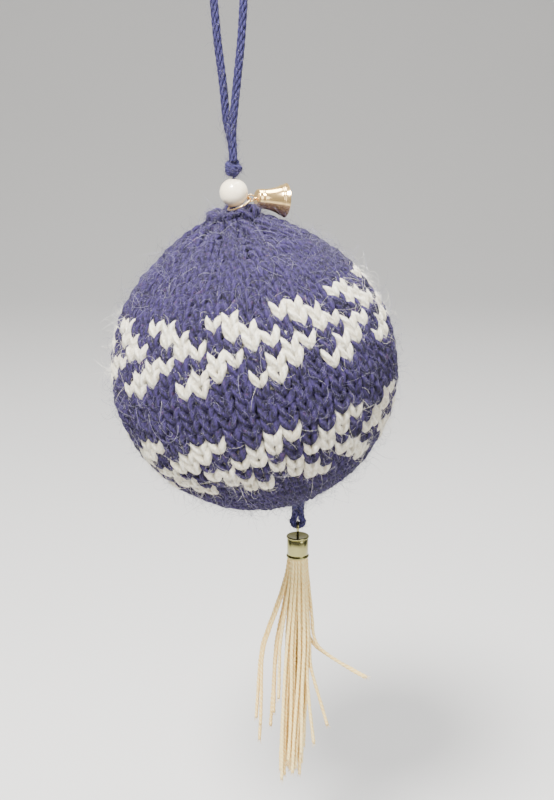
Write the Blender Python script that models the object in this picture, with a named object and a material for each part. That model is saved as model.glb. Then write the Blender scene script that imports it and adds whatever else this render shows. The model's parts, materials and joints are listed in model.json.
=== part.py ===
"""Knitted ball ornament: a stuffed wool ball that hangs from a cord loop, with a pearl bead, a small bell and a tassel.

The frame's origin is the point that the loop hangs on. +Z is up, +X is the side that the bell lies on, and -Y is the
front. Every size is in metres."""

from math import acos, asin, atan2, cos, exp, pi, radians, sin, sqrt

import bmesh
import bpy
from mathutils import Matrix, Vector

# Clearances
GAP = 0.0003  # between pieces that touch
WIRE_GAP = 0.00012  # between linked wires
FILL_GAP = 0.0009  # between the cover's inner face and the filling
REST_GAP = 0.0012  # between the bell's lip and the cover, for the nap that it rests on

# Hanging cord, knot and bead, all on one vertical line
LINE_X = 0.0006
LOOP_RADIUS = 0.0012
LOOP_FOOT_Z = -0.0614  # the two strands end here, and the knot swings about it
STRAND_SPACING = 2 * LOOP_RADIUS + GAP
KNOT_WIDTH = 0.0049
KNOT_HEIGHT = 0.0031
THREAD_RADIUS = 0.00055
BEAD_RADIUS = 0.0040
NECK_DROP = 0.0027  # from the bead's lowest point to the middle of the neck's gather ring

# Ball
BALL_RADIUS = 0.0416
NECK_RISE = 0.0086  # height of the gathered neck's curve, which dies away with NECK_FADE
NECK_FADE = radians(8.8)
NECK_RADIUS = 0.0060
NECK_TILT = radians(7.3)  # of the ball's neck from upright, towards -X
FOOT_TILT = radians(17.4)  # of the ball's bottom gather from straight down, towards +X
FABRIC = 0.0020
TOP_GATHER_RADIUS = 0.0021
TOP_GATHER_YARN = 0.0007
FOOT_GATHER_RADIUS = 0.0034
FOOT_GATHER_YARN = 0.0007
ANCHOR_WIDTH = 0.0038
ANCHOR_HEIGHT = 0.0024
ANCHOR_DROP = 0.0039  # below the neck's gather ring

# Bell and its ring
BELL_SIDE = radians(20)  # from +X towards +Y, the way the bell points
RING_RADIUS = BEAD_RADIUS - 0.0005  # so that the bell's eye hangs clear of the bead
RING_WIRE = 0.0003
RING_SLOPE = radians(27)
RING_DROP = 0.0009  # from the bead's lowest point to the ring's low side
BELL_LENGTH = 0.0088
BELL_MOUTH = 0.0049
BELL_CROWN = 0.0027
BELL_WALL = 0.0004
EYE_RADIUS = 0.00095
EYE_WIRE = 0.00022
HOOK_RADIUS = 0.0008
HOOK_WIRE = 0.00018
CLAPPER_LENGTH = 0.0070
CLAPPER_BALL = 0.0011

# Tassel
STITCH_RADIUS = 0.0006
STITCH_RISE = 0.0012  # how far the anchor stitch stands below the bottom gather
LINK_YARN = 0.0007
LINK_LENGTH = 0.0067
PIN_RADIUS = 0.0017
PIN_WIRE = 0.0003
PIN_NECK = 0.0010  # bare pin between its eye and the cap
CAP_RADIUS = 0.0032
CAP_LENGTH = 0.0068
CAP_WALL = 0.00028
CAP_RIM = 0.00035
BINDING_LENGTH = 0.0043
STRAND_RADIUS = 0.0003
STRAND_PITCH = 0.00082
STRAND_RINGS = 3
SKIRT_LENGTH = 0.0755
SKIRT_SPREAD = 0.0105  # difference between the longest strand and the shortest

# Places that follow from the sizes
up = Vector((0, 0, 1))
knot_top = LOOP_FOOT_Z - LOOP_RADIUS - GAP
knot_middle = Vector((LINE_X, 0, knot_top - KNOT_HEIGHT / 2))
bead_middle = Vector((LINE_X, 0, knot_top - KNOT_HEIGHT - GAP - BEAD_RADIUS))
bead_foot = bead_middle.z - BEAD_RADIUS
gather_top = Vector((LINE_X, 0, bead_foot - NECK_DROP))
neck_way = Vector((-sin(NECK_TILT), 0, cos(NECK_TILT)))
foot_way = Vector((sin(FOOT_TILT), 0, -cos(FOOT_TILT)))


def bag_radius(polar):
    """Distance from the ball's middle to its surface at an angle from the neck: a sphere with a neck that rises as an
    exponential."""
    return BALL_RADIUS + NECK_RISE * exp(-polar / NECK_FADE)


def polar_at(ring_radius):
    """The angle from the neck at which the surface is this far from the neck's axis, in the upper half."""
    low, high = 0.0, radians(60)
    for _ in range(40):
        middle = (low + high) / 2
        if bag_radius(middle) * sin(middle) < ring_radius:
            low = middle
        else:
            high = middle
    return low


rim_polar = polar_at(NECK_RADIUS)
rim_height = bag_radius(rim_polar) * cos(rim_polar)
gather_height = rim_height - 0.0007
ball_middle = gather_top - gather_height * neck_way


def bag_tilt(polar):
    """The rings lean more and more from the neck's tilt to the bottom gather's."""
    share = min(max((polar - radians(45)) / radians(105), 0.0), 1.0)
    return NECK_TILT + (FOOT_TILT - NECK_TILT) * share * share * (3 - 2 * share)


def bag_ring(polar, radius, height, count):
    """A ring of the ball: radius out from its axis, height along it."""
    lean = bag_tilt(polar)
    along = Vector((-sin(lean), 0, cos(lean)))
    across = Vector((cos(lean), 0, sin(lean)))
    middle = ball_middle + height * along
    turns = [2 * pi * step / count for step in range(count)]
    return [middle + radius * (cos(t) * across + sin(t) * Vector((0, 1, 0))) for t in turns]


def make_material(name, colour, roughness, metallic=0.0):
    material = bpy.data.materials.new(name)
    material.use_nodes = True
    shader = material.node_tree.nodes["Principled BSDF"]
    shader.inputs["Base Color"].default_value = (*colour, 1)
    shader.inputs["Roughness"].default_value = roughness
    shader.inputs["Metallic"].default_value = metallic
    material.diffuse_color = (*colour, 1)
    return material


def place(data, name, material, parent):
    """Adds an object whose mesh or curve is written in world metres and hangs it under its joint's empty."""
    thing = bpy.data.objects.new(name, data)
    bpy.context.scene.collection.objects.link(thing)
    data.materials.append(material)
    if parent is not None:
        thing.parent = parent
        thing.matrix_parent_inverse = parent.matrix_world.inverted()
    return thing


def pivot(name, point, parent=None):
    """An empty on a joint's axis, which carries the pieces that move with it."""
    empty = bpy.data.objects.new(name, None)
    empty.empty_display_size = 0.004
    bpy.context.scene.collection.objects.link(empty)
    empty.matrix_world = Matrix.Translation(point)
    bpy.context.view_layer.update()
    if parent is not None:
        empty.parent = parent
        empty.matrix_parent_inverse = parent.matrix_world.inverted()
        bpy.context.view_layer.update()
    return empty


def loft(name, rings, material, parent, joined=False):
    """A closed solid through rings of points. A ring of one point is a pole. With joined, the last ring meets the
    first, as in a tube wall or a torus."""
    build = bmesh.new()
    rows = [[build.verts.new(point) for point in ring] for ring in rings]
    pairs = list(zip(rows, rows[1:]))
    if joined:
        pairs.append((rows[-1], rows[0]))
    for a, b in pairs:
        count = max(len(a), len(b))
        for step in range(count):
            after = (step + 1) % count
            corners = [a[step % len(a)], a[after % len(a)], b[after % len(b)], b[step % len(b)]]
            build.faces.new(list(dict.fromkeys(corners)))
    if not joined:
        for end in (rows[0], rows[-1]):
            if len(end) > 2:
                build.faces.new(end)
    bmesh.ops.recalc_face_normals(build, faces=build.faces)
    mesh = bpy.data.meshes.new(name)
    build.to_mesh(mesh)
    build.free()
    mesh.shade_smooth()
    mesh.set_sharp_from_angle(angle=radians(40))
    return place(mesh, name, material, parent)


def frame_on(axis):
    """Two directions at right angles to an axis and to each other."""
    guide = Vector((0, 1, 0)) if abs(axis.y) < 0.9 else Vector((1, 0, 0))
    across = guide.cross(axis).normalized()
    return across, axis.cross(across).normalized()


def turned(name, profile, origin, axis, count, material, parent, joined=False):
    """A lathe piece. The profile's points are (radius, height along the axis)."""
    side, other = frame_on(axis)
    rings = []
    for radius, height in profile:
        middle = origin + height * axis
        if radius <= 0:
            rings.append([middle])
        else:
            turns = [2 * pi * step / count for step in range(count)]
            rings.append([middle + radius * (cos(t) * side + sin(t) * other) for t in turns])
    return loft(name, rings, material, parent, joined)


def ring_profile(radius, wire, sides):
    """The section of a torus, for turned()."""
    turns = [2 * pi * step / sides for step in range(sides)]
    return [(radius + wire * cos(t), wire * sin(t)) for t in turns]


def ball_profile(radius, height, steps):
    """Half an ellipse from pole to pole, for turned()."""
    turns = [pi * step / steps for step in range(steps + 1)]
    return [(max(radius * sin(t), 0.0) if 0 < t < pi else 0.0, height * cos(t)) for t in turns]


def wire(name, points, radii, sides, material, parent, closed=False):
    """A round bar along a path. Each ring stands square to the path and is turned as little as possible from the one
    before it."""
    total = len(points)
    rings = []
    side = None
    for index, point in enumerate(points):
        before = points[index - 1] if closed or index else points[0]
        after = points[(index + 1) % total] if closed or index + 1 < total else points[-1]
        along = (after - before).normalized()
        if side is None:
            side = frame_on(along)[0]
        side = (side - side.dot(along) * along).normalized()
        other = along.cross(side)
        radius = radii[index] if isinstance(radii, list) else radii
        turns = [2 * pi * step / sides for step in range(sides)]
        rings.append([point + radius * (cos(t) * side + sin(t) * other) for t in turns])
    return loft(name, rings, material, parent, closed)


def arc(middle, along, across, radius, start, end, steps):
    """Points on an arc, from start to end in degrees, 0 along the first direction and 90 along the second."""
    found = []
    for step in range(steps + 1):
        turn = radians(start + (end - start) * step / steps)
        found.append(middle + radius * (cos(turn) * along + sin(turn) * across))
    return found


def smooth_route(points, count):
    """Points at equal steps of a Catmull-Rom curve through a route."""
    route = [Vector(p) for p in points]
    route = [2 * route[0] - route[1], *route, 2 * route[-1] - route[-2]]
    spans = len(route) - 3
    found = []
    for step in range(count):
        where = spans * step / (count - 1)
        span = min(int(where), spans - 1)
        t = where - span
        a, b, c, d = route[span : span + 4]
        found.append(
            0.5 * (2 * b + (c - a) * t + (2 * a - 5 * b + 4 * c - d) * t**2 + (3 * b - a - 3 * c + d) * t**3)
        )
    return found


def cord(name, points, radius, material, parent, round_ends=False):
    """A cord as a curve with a round bevel. Round ends swell from a point over one radius beyond the route."""
    shares = [1.0] * len(points)
    if round_ends:
        first = (points[0] - points[1]).normalized()
        last = (points[-1] - points[-2]).normalized()
        steps = [(sin(radians(a)), cos(radians(a))) for a in (40, 70, 86)]
        start = [points[0] + radius * far * first for far, _ in reversed(steps)]
        end = [points[-1] + radius * far * last for far, _ in steps]
        points = [*start, *points, *end]
        shares = [s for _, s in reversed(steps)] + shares + [s for _, s in steps]
    curve = bpy.data.curves.new(name, "CURVE")
    curve.dimensions = "3D"
    spline = curve.splines.new("POLY")
    spline.points.add(len(points) - 1)
    for target, point, share in zip(spline.points, points, shares):
        target.co = (*point, 1)
        target.radius = share
    curve.bevel_depth = radius
    curve.bevel_resolution = 2
    curve.use_fill_caps = True
    return place(curve, name, material, parent)


def hanging_cord(parent, wool):
    """The loop: the back strand goes up on the left, over the hang point and down on the right in front."""
    half = STRAND_SPACING / 2
    route = [
        (LINE_X, half, LOOP_FOOT_Z),
        (0.0001, half, -0.0570),
        (-0.0006, half, -0.0535),
        (-0.0013, 0.00130, -0.0500),
        (-0.0022, 0.00110, -0.0400),
        (-0.0036, 0.00070, -0.0280),
        (-0.0047, 0.00030, -0.0130),
        (-0.0048, 0.00010, -0.0070),
        (-0.0040, 0.0, -0.0022),
        (-0.0022, 0.0, 0.0004),
        (0.0, 0.0, 0.0012),
        (0.0022, 0.0, 0.0004),
        (0.0039, 0.0, -0.0022),
        (0.0045, -0.00010, -0.0070),
        (0.0041, -0.00030, -0.0130),
        (0.0031, -0.00070, -0.0280),
        (0.0018, -0.00110, -0.0400),
        (0.0007, -0.00130, -0.0500),
        (0.0004, -half, -0.0540),
        (0.0005, -half, -0.0575),
        (LINE_X, -half, LOOP_FOOT_Z),
    ]
    cord("hanging_loop", smooth_route(route, 44), LOOP_RADIUS, wool, parent, round_ends=True)


def knot_and_thread(parent, wool):
    """The knot above the bead, the thread through the bead and the knot that stops it inside the neck."""
    turned("loop_knot", ball_profile(KNOT_WIDTH / 2, KNOT_HEIGHT / 2, 8), knot_middle, up, 16, wool, parent)
    thread_top = bead_middle.z + BEAD_RADIUS
    anchor_middle = gather_top - ANCHOR_DROP * up
    thread_foot = anchor_middle.z + ANCHOR_HEIGHT / 2 + GAP
    thread = [(0.0, thread_top), (THREAD_RADIUS, thread_top), (THREAD_RADIUS, thread_foot), (0.0, thread_foot)]
    turned("bead_thread", thread, Vector((LINE_X, 0, 0)), up, 12, wool, parent)
    anchor = ball_profile(ANCHOR_WIDTH / 2, ANCHOR_HEIGHT / 2, 6)
    turned("anchor_knot", anchor, anchor_middle, up, 12, wool, parent)


def bead(parent, pearl):
    """A ball turned round its bore, which clears the thread."""
    bore = THREAD_RADIUS + GAP
    start = acos(sqrt(BEAD_RADIUS**2 - bore**2) / BEAD_RADIUS)
    turns = [start + (pi - 2 * start) * step / 10 for step in range(11)]
    profile = [(BEAD_RADIUS * sin(t), BEAD_RADIUS * cos(t)) for t in turns]
    turned("pearl_bead", profile, bead_middle, up, 24, pearl, parent, joined=True)


def knitted_ball(parent, wool, fill):
    """The cover, a shell with a hole at the neck and one at the bottom, its filling and the two gather rings."""
    around, down = 32, 15
    hole_top = TOP_GATHER_RADIUS + TOP_GATHER_YARN + GAP
    hole_foot = FOOT_GATHER_RADIUS + FOOT_GATHER_YARN + GAP
    foot_polar = pi - atan2(hole_foot, sqrt(BALL_RADIUS**2 - hole_foot**2))
    polars = [rim_polar + (foot_polar - rim_polar) * (step / down) ** 0.88 for step in range(down + 1)]
    lip = [
        (hole_top, gather_height - TOP_GATHER_YARN),
        (hole_top, gather_height + TOP_GATHER_YARN / 2),
        ((hole_top + NECK_RADIUS) / 2, rim_height + 0.0004),
    ]
    rings = [bag_ring(0.0, radius, height, around) for radius, height in lip]
    for polar in polars:
        reach = bag_radius(polar)
        rings.append(bag_ring(polar, reach * sin(polar), reach * cos(polar), around))
    inner = [polar for polar in reversed(polars) if polar > 2 * rim_polar]
    for polar in inner:
        reach = bag_radius(polar) - FABRIC
        radius = max(reach * sin(polar), hole_foot)
        rings.append(bag_ring(polar, radius, reach * cos(polar), around))
    loft("knit_cover", rings, wool, parent, joined=True)

    crest = gather_height - ANCHOR_DROP - ANCHOR_HEIGHT / 2 - 4 * GAP
    body = []
    for step in range(11):
        polar = radians(10) + radians(164) * step / 10
        reach = bag_radius(polar) - FABRIC - FILL_GAP
        height = min(reach * cos(polar), crest)
        radius = reach * sin(polar) if height < crest else crest * sin(polar) / cos(polar)
        body.append((polar, radius, height))
    rings = [bag_ring(polar, radius, height, 24) for polar, radius, height in body]
    loft("stuffing", rings, fill, parent)

    top = ring_profile(TOP_GATHER_RADIUS, TOP_GATHER_YARN, 8)
    turned("top_gather_yarn", top, gather_top, neck_way, 18, wool, parent, joined=True)
    foot = ring_profile(FOOT_GATHER_RADIUS, FOOT_GATHER_YARN, 8)
    foot_middle = ball_middle + foot_seat * foot_way
    turned("bottom_gather_yarn", foot, foot_middle, foot_way, 20, wool, parent, joined=True)
    half = FOOT_GATHER_RADIUS * Vector((0, 1, 0))
    stitch = [stitch_middle - half, stitch_middle + half]
    wire("tassel_anchor_stitch", stitch, STITCH_RADIUS, 10, wool, parent)


foot_seat = BALL_RADIUS - FOOT_GATHER_YARN
stitch_middle = ball_middle + (foot_seat + STITCH_RISE + FOOT_GATHER_YARN) * foot_way

# The ring goes round the thread below the bead and rises away from it. Its high side is the bell's pivot.
bell_flat = Vector((cos(BELL_SIDE), sin(BELL_SIDE), 0))
bell_side = Vector((-sin(BELL_SIDE), cos(BELL_SIDE), 0))
ring_way = cos(RING_SLOPE) * bell_flat + sin(RING_SLOPE) * up
ring_low = Vector((LINE_X, 0, bead_foot - RING_DROP)) - (THREAD_RADIUS + 2 * GAP + RING_WIRE) * bell_flat
ring_middle = ring_low + RING_RADIUS * ring_way
bell_pivot = ring_low + 2 * RING_RADIUS * ring_way
eye_offset = EYE_RADIUS - EYE_WIRE - RING_WIRE - WIRE_GAP
crown_start = eye_offset + EYE_RADIUS + EYE_WIRE + GAP
hook_middle = crown_start + BELL_WALL + GAP + HOOK_WIRE + HOOK_RADIUS


def bell_profile():
    """Outer and inner wall of the bell from the crown's hole to the mouth and back: (radius, distance from crown)."""
    hole = EYE_WIRE + GAP
    outer = [(hole, 0.0), (0.7 * BELL_CROWN, 0.0), (0.93 * BELL_CROWN, 0.00025), (BELL_CROWN, 0.0008)]
    steps = 7
    for step in range(1, steps + 1):
        share = step / steps
        flare = BELL_CROWN + 0.0002 * share + (BELL_MOUTH - BELL_CROWN - 0.0002) * share**2.2
        outer.append((flare, 0.0008 + (BELL_LENGTH - 0.0008) * share))
    inner = [(radius - BELL_WALL, height) for radius, height in reversed(outer[4:])]
    inner += [(0.85 * (BELL_CROWN - BELL_WALL), BELL_WALL + 0.0003), (hole, BELL_WALL)]
    return outer, inner


def bell_droop():
    """The angle below level at which the bell's outside comes down to its gap above the ball."""
    outer, _ = bell_profile()
    low, high = radians(-20), radians(60)
    for _ in range(30):
        droop = (low + high) / 2
        way = cos(droop) * bell_flat - sin(droop) * up
        drop = -sin(droop) * bell_flat - cos(droop) * up
        least = 1.0
        for radius, height in outer:
            for turn in range(-60, 61, 15):
                side = cos(radians(turn)) * drop + sin(radians(turn)) * bell_side
                spot = bell_pivot + (crown_start + height) * way + radius * side - ball_middle
                polar = acos(spot.normalized().dot(neck_way))
                least = min(least, spot.length - bag_radius(polar))
        if least > REST_GAP:
            low = droop
        else:
            high = droop
    return low


droop = bell_droop()
bell_way = cos(droop) * bell_flat - sin(droop) * up
bell_drop = -sin(droop) * bell_flat - cos(droop) * up
clapper_pivot = bell_pivot + hook_middle * bell_way
mouth_bore = BELL_MOUTH - BELL_WALL
clapper_lean = -atan2(mouth_bore - CLAPPER_BALL - 2 * GAP, CLAPPER_LENGTH)
clapper_way = cos(clapper_lean) * bell_way - sin(clapper_lean) * bell_drop


def bell(ring_body, bell_body, clapper_body, gold, dark):
    """Ring, bell, the wire through the bell's crown and the clapper that hangs in it."""
    across = bell_side
    ring = arc(ring_middle, ring_way, across, RING_RADIUS, 0, 345, 23)
    wire("bell_ring", ring, RING_WIRE, 8, gold, ring_body, closed=True)

    outer, inner = bell_profile()
    crown = bell_pivot + crown_start * bell_way
    turned("bell_shell", outer + inner, crown, bell_way, 28, gold, bell_body, joined=True)

    eye_middle = bell_pivot + eye_offset * bell_way
    eye = arc(eye_middle, bell_way, -bell_drop, EYE_RADIUS, -320, 0, 13)
    hook = arc(clapper_pivot, -bell_way, -bell_drop, HOOK_RADIUS, 0, 300, 12)
    radii = [EYE_WIRE] * len(eye) + [HOOK_WIRE] * len(hook)
    wire("bell_eye", eye + hook, radii, 8, gold, bell_body)

    loop_middle = clapper_pivot + HOOK_RADIUS * clapper_way
    loop = arc(loop_middle, clapper_way, across, HOOK_RADIUS, -320, 0, 13)
    points = loop + [clapper_pivot + (2.6 * HOOK_RADIUS) * clapper_way]
    radii = [HOOK_WIRE] * len(points)
    start = asin(HOOK_WIRE / CLAPPER_BALL)
    for step in range(9):
        turn = start + (radians(172) - start) * step / 8
        points.append(clapper_pivot + (CLAPPER_LENGTH - CLAPPER_BALL * cos(turn)) * clapper_way)
        radii.append(CLAPPER_BALL * sin(turn))
    wire("bell_clapper", points, radii, 10, dark, clapper_body)


# The stem's lowest yarn is the tassel's pivot.
link_foot = stitch_middle - (LINK_LENGTH + STITCH_RADIUS + GAP + LINK_YARN) * up
pin_top = link_foot + (LINK_YARN + GAP + PIN_WIRE) * up
pin_middle = pin_top - PIN_RADIUS * up
cap_top = pin_middle.z - PIN_RADIUS - PIN_NECK
cap_foot = cap_top - CAP_LENGTH
cap_bore = CAP_RADIUS - CAP_WALL
pin_hole = PIN_WIRE + GAP
binding_top = cap_top - CAP_WALL - GAP
strand_top = binding_top - BINDING_LENGTH - GAP
tassel_x = stitch_middle.x


def stem(parent, wool):
    """A flat ring of yarn round the anchor stitch, which the tassel's eye hangs in."""
    bend = STITCH_RADIUS + GAP + LINK_YARN
    ahead = Vector((1, 0, 0))
    top = arc(stitch_middle, ahead, up, bend, 0, 180, 9)
    foot = arc(link_foot + bend * up, -ahead, -up, bend, 0, 180, 9)
    wire("tassel_link_yarn", top + foot, LINK_YARN, 8, wool, parent, closed=True)


def cap_and_pin(parent, nickel, binding):
    """The eye pin, the cap with a rolled rim at each end, and the binding that fills the cap's upper part."""
    ahead = Vector((0, 1, 0))
    eye = arc(pin_middle, -up, ahead, PIN_RADIUS, -325, 0, 15)
    tip = Vector((tassel_x, 0, binding_top - 0.6 * BINDING_LENGTH))
    wire("tassel_eye_pin", eye + [tip], PIN_WIRE, 8, nickel, parent)

    rim = CAP_RADIUS + CAP_RIM / 2
    profile = [
        (pin_hole, cap_top),
        (CAP_RADIUS - CAP_RIM, cap_top),
        (rim, cap_top - 0.4 * CAP_RIM),
        (rim, cap_top - 1.4 * CAP_RIM),
        (CAP_RADIUS, cap_top - 2 * CAP_RIM),
        (CAP_RADIUS, cap_foot + 2 * CAP_RIM),
        (rim, cap_foot + 1.4 * CAP_RIM),
        (rim, cap_foot + 0.4 * CAP_RIM),
        (CAP_RADIUS, cap_foot),
        (cap_bore, cap_foot),
        (cap_bore, cap_top - CAP_WALL),
        (pin_hole, cap_top - CAP_WALL),
    ]
    axis_foot = Vector((tassel_x, 0, 0))
    turned("tassel_cap", profile, axis_foot, up, 28, nickel, parent, joined=True)
    plug = cap_bore - GAP
    low = binding_top - BINDING_LENGTH
    profile = [(pin_hole, binding_top), (plug, binding_top), (plug, low), (pin_hole, low)]
    turned("tassel_binding", profile, axis_foot, up, 16, binding, parent, joined=True)


def strand_way(column, row, place_in_order, length, steps):
    """The route of one strand, from its place in the packed bundle to its end. Most fan out and wander a little and
    lean left. The outer left ones bow out and hang, two on the right stray outwards, and two more bend away lower."""
    out_x = STRAND_PITCH * (column + row / 2)
    out_y = STRAND_PITCH * row * sqrt(3) / 2
    outer = out_x < -2.4 * STRAND_PITCH
    inner = out_x < -1.9 * STRAND_PITCH and not outer
    stray = out_x > 2.4 * STRAND_PITCH and row >= 0
    astray = out_x > 1.9 * STRAND_PITCH and row < 0
    if outer:
        length = 0.0578 + 0.0066 * (row == 1) - 0.0020 * (row == 0)
    if inner:
        length = 0.0540 + 0.0030 * row
    if stray:
        length = 0.0500 + 0.0016 * row
    if astray:
        length = 0.0580 + 0.0055 * (row == -2)
    found = []
    for step in range(steps):
        far = length * step / (steps - 1)
        spread = min(far / 0.030, 1.0)
        wander = 0.00032 * spread * sin(far / 0.0105 + 2.4 * place_in_order)
        x = tassel_x + out_x * (1 + 1.30 * spread**1.2) - 0.0022 * (far / SKIRT_LENGTH) ** 1.5 + wander
        y = out_y * (1 + 0.8 * spread) + 0.8 * wander
        z = strand_top - far
        if outer or inner:
            share = min(max((far - 0.002) / 0.038, 0.0), 1.0)
            x -= (0.0056 if outer else 0.0020 + 0.0004 * row) * share * share * (3 - 2 * share)
        if stray:
            free = max(far - 0.0285, 0.0)
            x += 0.95 * free * free / (free + 0.005)
            z += 0.47 * free * free / (free + 0.005)
        if astray:
            free = max(far - 0.034, 0.0)
            x += (0.13 + 0.18 * (row == -1)) * free * free / (free + 0.006)
        found.append(Vector((x, y, z)))
    return found


def tassel_skirt(parent, silk):
    """Strands packed in rings of six round one in the middle, each a separate cord."""
    span = range(-STRAND_RINGS, STRAND_RINGS + 1)
    spots = [(column, row) for row in span for column in span if abs(column + row) <= STRAND_RINGS]
    for index, (column, row) in enumerate(spots):
        golden = (index * 0.618) % 1.0
        length = SKIRT_LENGTH - SKIRT_SPREAD * golden
        route = strand_way(column, row, index, length, 12)
        cord(f"tassel_strand_{index + 1:02d}", route, STRAND_RADIUS, silk, parent)


def main():
    for thing in list(bpy.data.objects):
        bpy.data.objects.remove(thing)
    navy = make_material("navy_wool", (0.075, 0.070, 0.250), 0.95)
    knit = make_material("colourwork_wool", (0.150, 0.145, 0.340), 0.95)
    fill = make_material("stuffing_fibre", (0.82, 0.82, 0.80), 1.0)
    pearl = make_material("pearl", (0.84, 0.82, 0.78), 0.22)
    gold = make_material("gold_plate", (0.86, 0.64, 0.28), 0.15, 1.0)
    dark = make_material("blackened_metal", (0.05, 0.04, 0.04), 0.45, 1.0)
    nickel = make_material("nickel_plate", (0.70, 0.68, 0.58), 0.18, 1.0)
    silk = make_material("cream_silk", (0.76, 0.63, 0.41), 0.55)
    glue = make_material("binding_glue", (0.55, 0.45, 0.28), 0.6)

    hang = pivot("hang_point", Vector((0, 0, 0)))
    knot_pivot = pivot("loop_swing", Vector((LINE_X, 0, LOOP_FOOT_Z)), hang)
    bead_pivot = pivot("bead_spin", bead_middle, knot_pivot)
    ball_pivot = pivot("ball_nod", gather_top, knot_pivot)
    ring_pivot = pivot("ring_orbit", gather_top, ball_pivot)
    bell_body = pivot("bell_lift", bell_pivot, ring_pivot)
    clapper_body = pivot("clapper_swing", clapper_pivot, bell_body)
    stem_pivot = pivot("stem_swing", stitch_middle, ball_pivot)
    tassel_pivot = pivot("tassel_swing", link_foot, stem_pivot)

    hanging_cord(hang, navy)
    knot_and_thread(knot_pivot, navy)
    bead(bead_pivot, pearl)
    knitted_ball(ball_pivot, knit, fill)
    bell(ring_pivot, bell_body, clapper_body, gold, dark)
    stem(stem_pivot, navy)
    cap_and_pin(tassel_pivot, nickel, glue)
    tassel_skirt(tassel_pivot, silk)


main()
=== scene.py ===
import json
import bmesh
import bpy
import numpy as np
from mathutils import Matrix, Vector


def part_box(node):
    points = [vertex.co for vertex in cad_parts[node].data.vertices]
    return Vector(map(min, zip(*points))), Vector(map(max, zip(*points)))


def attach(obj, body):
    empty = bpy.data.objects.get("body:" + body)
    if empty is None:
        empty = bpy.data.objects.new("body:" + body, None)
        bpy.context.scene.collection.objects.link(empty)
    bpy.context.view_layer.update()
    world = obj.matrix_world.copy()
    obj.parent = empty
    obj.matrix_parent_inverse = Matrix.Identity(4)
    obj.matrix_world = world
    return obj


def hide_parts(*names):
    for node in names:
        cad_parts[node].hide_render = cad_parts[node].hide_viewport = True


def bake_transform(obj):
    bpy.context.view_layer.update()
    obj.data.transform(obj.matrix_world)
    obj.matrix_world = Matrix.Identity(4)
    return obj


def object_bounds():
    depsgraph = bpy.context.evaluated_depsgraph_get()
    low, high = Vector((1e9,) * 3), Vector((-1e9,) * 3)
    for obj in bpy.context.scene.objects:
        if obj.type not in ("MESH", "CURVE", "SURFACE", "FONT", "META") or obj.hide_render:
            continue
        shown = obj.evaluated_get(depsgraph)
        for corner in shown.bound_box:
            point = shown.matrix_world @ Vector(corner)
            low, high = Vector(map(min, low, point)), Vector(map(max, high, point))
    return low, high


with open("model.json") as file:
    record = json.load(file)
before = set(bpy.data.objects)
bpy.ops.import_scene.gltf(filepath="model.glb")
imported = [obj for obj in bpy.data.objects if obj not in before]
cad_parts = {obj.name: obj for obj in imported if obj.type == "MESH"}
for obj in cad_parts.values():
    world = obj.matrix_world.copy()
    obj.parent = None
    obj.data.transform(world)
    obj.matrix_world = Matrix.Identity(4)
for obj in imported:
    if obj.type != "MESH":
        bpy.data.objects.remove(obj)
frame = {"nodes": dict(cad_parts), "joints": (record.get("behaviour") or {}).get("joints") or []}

cadBox = [list(corner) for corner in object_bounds()]
pivots = {joint["name"]: np.array(joint["pos_m"]) for joint in frame["joints"]}
xWay, yWay, zWay = np.eye(3)
tau = 2 * np.pi
deg = np.pi / 180
draw = np.random.default_rng(24)


# where the ball is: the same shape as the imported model's cover
ball = dict(radius=0.0416, neckRise=0.0086, neckFade=8.8 * deg, neckRadius=0.0060, neckTilt=7.3 * deg,
            rowTilt=11.8 * deg, footTilt=17.4 * deg, middle=(0.006206, 0.0, -0.120758), flatTop=0.0452)


def smoothStep(low, high, value):
    share = np.clip((value - low) / (high - low), 0, 1)
    return share * share * (3 - 2 * share)


def unit(vectors):
    return vectors / np.maximum(np.linalg.norm(vectors, axis=-1, keepdims=True), 1e-12)


def bagRadius(polar):
    # a sphere plus an exponential neck, cut off softly by the flat gathered top
    full = ball["radius"] + ball["neckRise"] * np.exp(-polar / ball["neckFade"])
    top = ball["flatTop"] / np.maximum(np.cos(polar), 0.2)
    soft = 0.0005
    return -soft * np.log(np.exp(-(full - 0.045) / soft) + np.exp(-(top - 0.045) / soft)) + 0.045


def nodeBox(node):
    return [np.array(corner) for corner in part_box(node)]


def addObject(name, data):
    made = bpy.data.objects.new(name, data)
    bpy.context.scene.collection.objects.link(made)
    return made


neckWay = np.array([-np.sin(ball["neckTilt"]), 0, np.cos(ball["neckTilt"])])
footWay = np.array([np.sin(ball["footTilt"]), 0, -np.cos(ball["footTilt"])])
ballMiddle = np.array(ball["middle"])


# camera first: it looks a little down at the ball, from in front
camera = dict(elevation=15.5 * deg, distance=0.380, lens=58.8, right=0.00654, down=0.00957)


def makeCamera():
    data = bpy.data.cameras.new("camera")
    data.lens = camera["lens"]
    data.sensor_width = 36
    eye = addObject("camera", data)
    back = np.array([0, -np.cos(camera["elevation"]), np.sin(camera["elevation"])])
    upWay = np.cross(back, xWay)
    place = ballMiddle + camera["distance"] * back + camera["right"] * xWay - camera["down"] * upWay
    eye.location = place
    eye.rotation_euler = Vector(-back).to_track_quat("-Z", "Y").to_euler()
    bpy.context.scene.camera = eye


makeCamera()


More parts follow.
